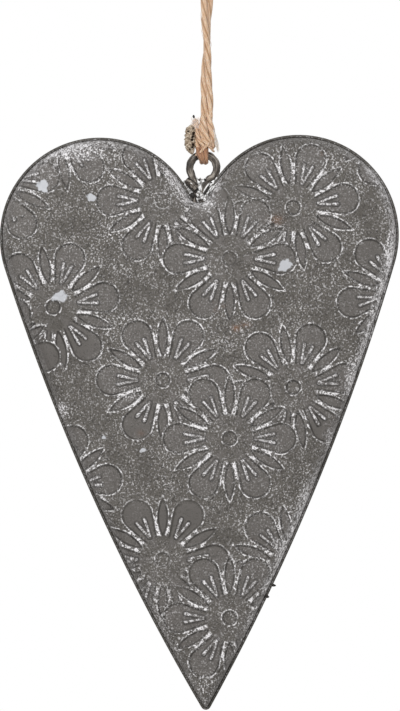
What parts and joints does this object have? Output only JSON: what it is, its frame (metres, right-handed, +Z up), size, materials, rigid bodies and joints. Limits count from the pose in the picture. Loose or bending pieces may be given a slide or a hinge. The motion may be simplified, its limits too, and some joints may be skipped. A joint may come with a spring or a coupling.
{
  "type": "hanging metal heart",
  "caption": "Hollow heart of pressed metal sheet with a flower pattern, hung by a wire eye from a loop of knotted twine.",
  "frame": {"origin": "underside of the top of the twine loop, where a hook or nail bears", "axes": "+Z up along the hanging line, the heart lies in the XZ plane, its front faces -Y and +X is to the right of the front view"},
  "size_m": [0.1113, 0.0134, 0.215],
  "materials": {
    "aged_sheet": "aged grey sheet with a pale worn wash on the pattern",
    "iron_wire": "dark aged iron wire",
    "solder": "dull silver solder",
    "jute": "natural jute twine"
  },
  "bodies": {
    "twine": {"twine_loop": "jute"},
    "knot": {"twine_knot": "jute", "cut_end": "jute", "frayed_end": "jute"},
    "turn": {"eye_turn": "jute"},
    "heart": {"front_shell": "aged_sheet", "back_shell": "aged_sheet", "hanger_eye": "iron_wire", "neck_solder_front": "solder", "neck_solder_back": "solder", "leg_tack_left": "solder", "leg_tack_right": "solder"}
  },
  "joints": [
    {"name": "twine_twist", "type": "hinge", "parent": "twine", "child": "knot", "pos_m": [0, 0, -0.048], "axis": [0, 0, 1], "range_deg": [-180, 180]},
    {"name": "eye_tilt", "type": "hinge", "parent": "knot", "child": "turn", "pos_m": [0, 0, -0.05815], "axis": [1, 0, 0], "range_deg": [-70, 70]},
    {"name": "heart_swing", "type": "hinge", "parent": "turn", "child": "heart", "pos_m": [0, 0, -0.062], "axis": [0, 1, 0], "range_deg": [-35, 35]}
  ]
}
